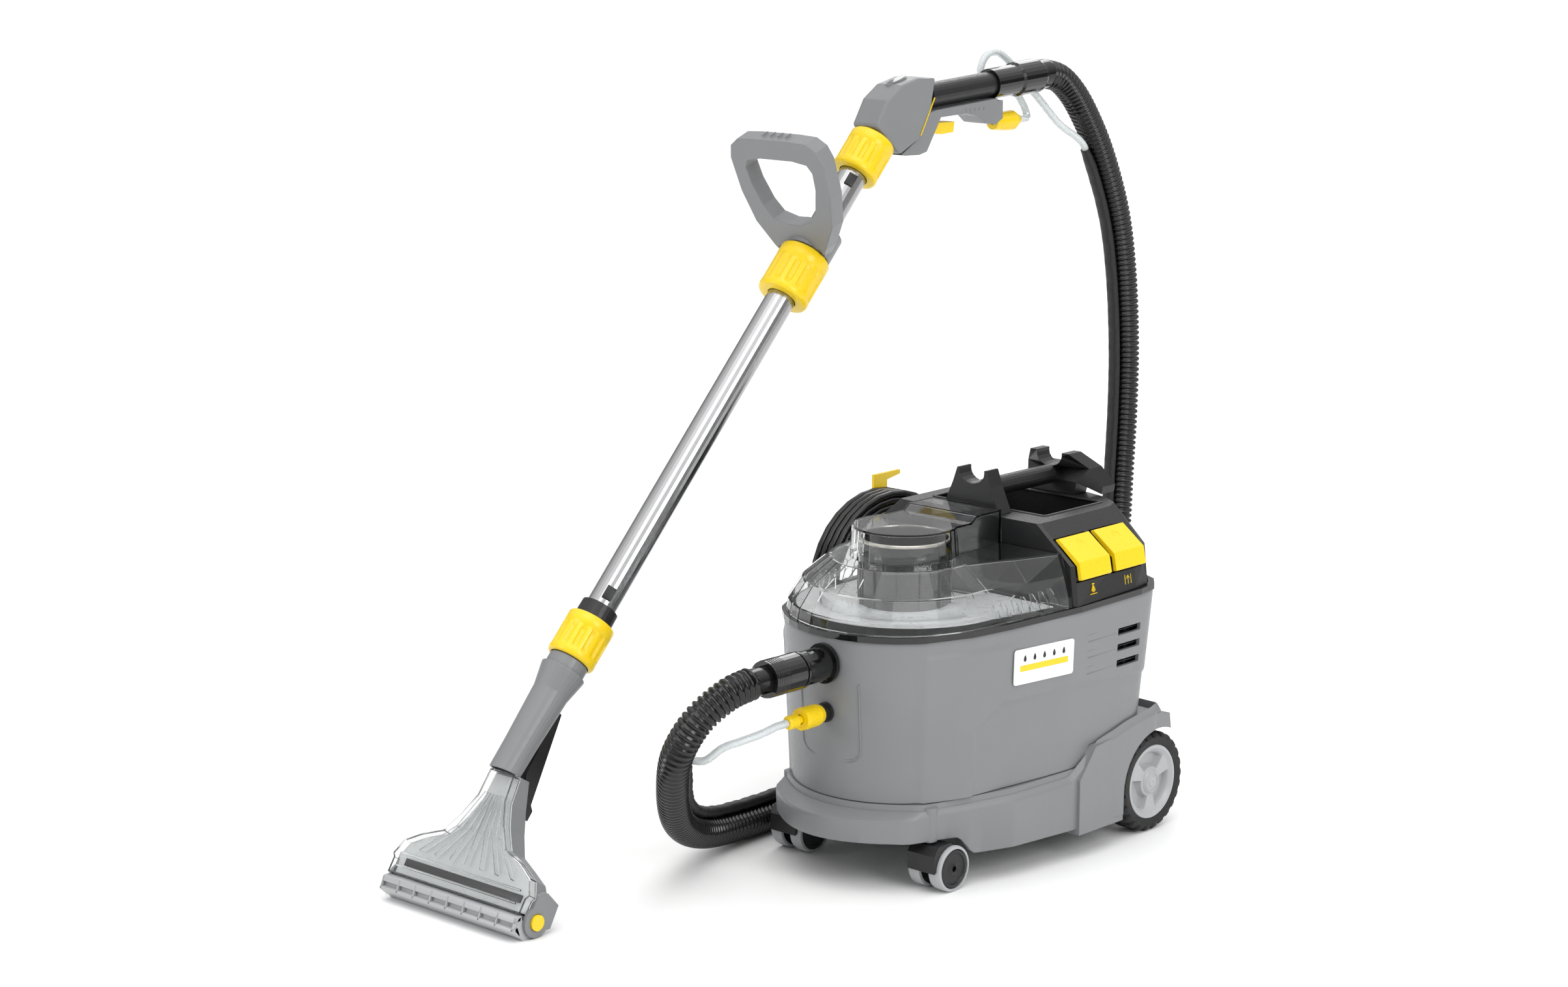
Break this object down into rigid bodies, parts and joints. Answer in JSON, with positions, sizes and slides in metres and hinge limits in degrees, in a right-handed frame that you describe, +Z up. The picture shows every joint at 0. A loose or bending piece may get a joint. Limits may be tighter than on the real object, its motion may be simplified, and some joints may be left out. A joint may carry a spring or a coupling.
{
  "type": "spot extractor",
  "caption": "Spray extractor for carpets and upholstery: wheeled grey tub, clear lid, black head with rocker switches, suction hose and floor wand.",
  "frame": {"origin": "on the floor, under the middle of the box round the machine and its wand, without the hoses and cable", "axes": "+Z up; -Y the machine's front, where the hoses leave; +X the side with the switches; the wand stands on the -X side with its nozzle towards -Y"},
  "size_m": [0.4954, 1.2306, 0.8901],
  "materials": {
    "grey_plastic": "satin moulded polypropylene",
    "light_grey_plastic": "satin moulded plastic",
    "black_plastic": "fine moulded texture",
    "gloss_black_plastic": "polished",
    "yellow_plastic": "satin gloss",
    "clear_polycarbonate": "polished",
    "milky_polyethylene": "blow moulded, translucent",
    "stainless_steel": "brushed along the tube",
    "tyre_rubber": "moulded tread",
    "printed_label": "gloss",
    "black_hose": "corrugated, semi-gloss",
    "clear_hose": "smooth",
    "cable_sheath": "smooth, semi-gloss"
  },
  "bodies": {
    "machine": {"chassis": "grey_plastic", "body_tub": "grey_plastic", "handle_elbow": "grey_plastic", "grip_shell": "grey_plastic", "nozzle_neck": "grey_plastic", "nozzle_back": "grey_plastic", "vent_grille": "black_plastic", "suction_turbine": "black_plastic", "spray_pump": "black_plastic", "head_housing": "black_plastic", "front_cradle": "black_plastic", "rear_cradle": "black_plastic", "carry_handle": "black_plastic", "coupler_socket": "black_plastic", "lower_cable_hook": "black_plastic", "cable_gland": "black_plastic", "mains_plug": "black_plastic", "tube_collar": "black_plastic", "grip_tube": "black_plastic", "rim_seal": "gloss_black_plastic", "hose_socket": "gloss_black_plastic", "swivel_cuff": "gloss_black_plastic", "hose_cuff": "gloss_black_plastic", "handle_cuff": "gloss_black_plastic", "spray_hose_nut": "yellow_plastic", "wand_coupler": "yellow_plastic", "nozzle_cover": "clear_polycarbonate", "fresh_water_tank": "milky_polyethylene", "rear_axle": "stainless_steel", "suction_tube": "stainless_steel", "label_plate": "printed_label", "suction_hose": "black_hose", "spray_hose": "clear_hose", "cable_hank": "cable_sheath", "mains_lead": "cable_sheath"},
    "rear_wheel_right": {"tyre_right": "tyre_rubber", "rim_right": "light_grey_plastic"},
    "rear_wheel_left": {"tyre_left": "tyre_rubber", "rim_left": "light_grey_plastic"},
    "caster_right": {"caster_housing_right": "black_plastic"},
    "caster_left": {"caster_housing_left": "black_plastic"},
    "caster_wheels_right": {"caster_wheels_right": "black_plastic"},
    "caster_wheels_left": {"caster_wheels_left": "black_plastic"},
    "spray_switch": {"spray_switch": "yellow_plastic"},
    "suction_switch": {"suction_switch": "yellow_plastic"},
    "waste_tank_and_lid": {"waste_water_tank": "milky_polyethylene", "clear_lid": "clear_polycarbonate", "lid_separator": "gloss_black_plastic"},
    "float": {"float": "milky_polyethylene"},
    "cable_hook": {"cable_hook": "yellow_plastic"},
    "trigger": {"trigger": "yellow_plastic"},
    "lower_nut": {"lower_nut": "yellow_plastic"},
    "middle_nut": {"middle_nut": "yellow_plastic"},
    "upper_nut": {"upper_nut": "yellow_plastic"},
    "loop_handle": {"d_handle": "grey_plastic"},
    "coupler_sleeve": {"coupler_sleeve": "yellow_plastic"},
    "nozzle_lip": {"nozzle_lip": "light_grey_plastic"},
    "nozzle_button_right": {"nozzle_button_right": "yellow_plastic"},
    "nozzle_button_left": {"nozzle_button_left": "yellow_plastic"},
    "nozzle_lever": {"nozzle_lever": "black_plastic"}
  },
  "joints": [
    {"name": "rear_wheel_right_spin", "type": "hinge", "parent": "machine", "child": "rear_wheel_right", "pos_m": [0.22025, 0.27783, 0.06], "axis": [1, 0, 0], "continuous": true},
    {"name": "rear_wheel_left_spin", "type": "hinge", "parent": "machine", "child": "rear_wheel_left", "pos_m": [-0.05775, 0.27783, 0.06], "axis": [1, 0, 0], "continuous": true},
    {"name": "caster_right_swivel", "type": "hinge", "parent": "machine", "child": "caster_right", "pos_m": [0.18575, -0.06917, 0.06], "axis": [0, 0, 1], "continuous": true},
    {"name": "caster_left_swivel", "type": "hinge", "parent": "machine", "child": "caster_left", "pos_m": [-0.02325, -0.06917, 0.06], "axis": [0, 0, 1], "continuous": true},
    {"name": "caster_right_roll", "type": "hinge", "parent": "caster_right", "child": "caster_wheels_right", "pos_m": [0.18575, -0.05317, 0.0265], "axis": [1, 0, 0], "continuous": true},
    {"name": "caster_left_roll", "type": "hinge", "parent": "caster_left", "child": "caster_wheels_left", "pos_m": [-0.02325, -0.05317, 0.0265], "axis": [1, 0, 0], "continuous": true},
    {"name": "spray_switch_rock", "type": "hinge", "parent": "machine", "child": "spray_switch", "pos_m": [0.23725, 0.15083, 0.348], "axis": [0, 1, 0], "range_deg": [-4, 4]},
    {"name": "suction_switch_rock", "type": "hinge", "parent": "machine", "child": "suction_switch", "pos_m": [0.23725, 0.21583, 0.348], "axis": [0, 1, 0], "range_deg": [-4, 4]},
    {"name": "waste_tank_lift", "type": "slide", "parent": "machine", "child": "waste_tank_and_lid", "axis": [0, 0, 1], "range_m": [0, 0.22]},
    {"name": "float_rise", "type": "slide", "parent": "waste_tank_and_lid", "child": "float", "axis": [0, 0, 1], "range_m": [0, 0.03]},
    {"name": "cable_hook_turn", "type": "hinge", "parent": "machine", "child": "cable_hook", "pos_m": [-0.08075, 0.20083, 0.3425], "axis": [1, 0, 0], "range_deg": [-180, 0]},
    {"name": "trigger_pull", "type": "hinge", "parent": "machine", "child": "trigger", "pos_m": [-0.13325, 0.29683, 0.811], "axis": [1, 0, 0], "range_deg": [0, 7], "stiffness_Nm_per_rad": 0.5},
    {"name": "lower_nut_turn", "type": "hinge", "parent": "machine", "child": "lower_nut", "pos_m": [-0.13325, -0.29734, 0.27492], "axis": [0, 0.6858, 0.7278], "continuous": true},
    {"name": "middle_nut_turn", "type": "hinge", "parent": "machine", "child": "middle_nut", "pos_m": [-0.13325, 0.05518, 0.649], "axis": [0, 0.6858, 0.7278], "continuous": true},
    {"name": "upper_nut_turn", "type": "hinge", "parent": "machine", "child": "upper_nut", "pos_m": [-0.13325, 0.17656, 0.77781], "axis": [0, 0.6858, 0.7278], "continuous": true},
    {"name": "loop_handle_turn", "type": "hinge", "parent": "machine", "child": "loop_handle", "pos_m": [-0.13325, 0.08809, 0.68393], "axis": [0, 0.6858, 0.7278], "range_deg": [-90, 90]},
    {"name": "coupler_release", "type": "slide", "parent": "machine", "child": "coupler_sleeve", "axis": [0, -1, 0], "range_m": [0, 0.004], "stiffness_N_per_m": 400},
    {"name": "nozzle_lip_release", "type": "slide", "parent": "machine", "child": "nozzle_lip", "axis": [0, -1, 0], "range_m": [0, 0.03]},
    {"name": "nozzle_button_right_press", "type": "slide", "parent": "machine", "child": "nozzle_button_right", "axis": [-1, 0, 0], "range_m": [0, 0.002], "stiffness_N_per_m": 400},
    {"name": "nozzle_button_left_press", "type": "slide", "parent": "machine", "child": "nozzle_button_left", "axis": [1, 0, 0], "range_m": [0, 0.002], "stiffness_N_per_m": 400},
    {"name": "nozzle_lever_swing", "type": "hinge", "parent": "machine", "child": "nozzle_lever", "pos_m": [-0.13325, -0.33597, 0.1985], "axis": [1, 0, 0], "range_deg": [0, 25]}
  ]
}
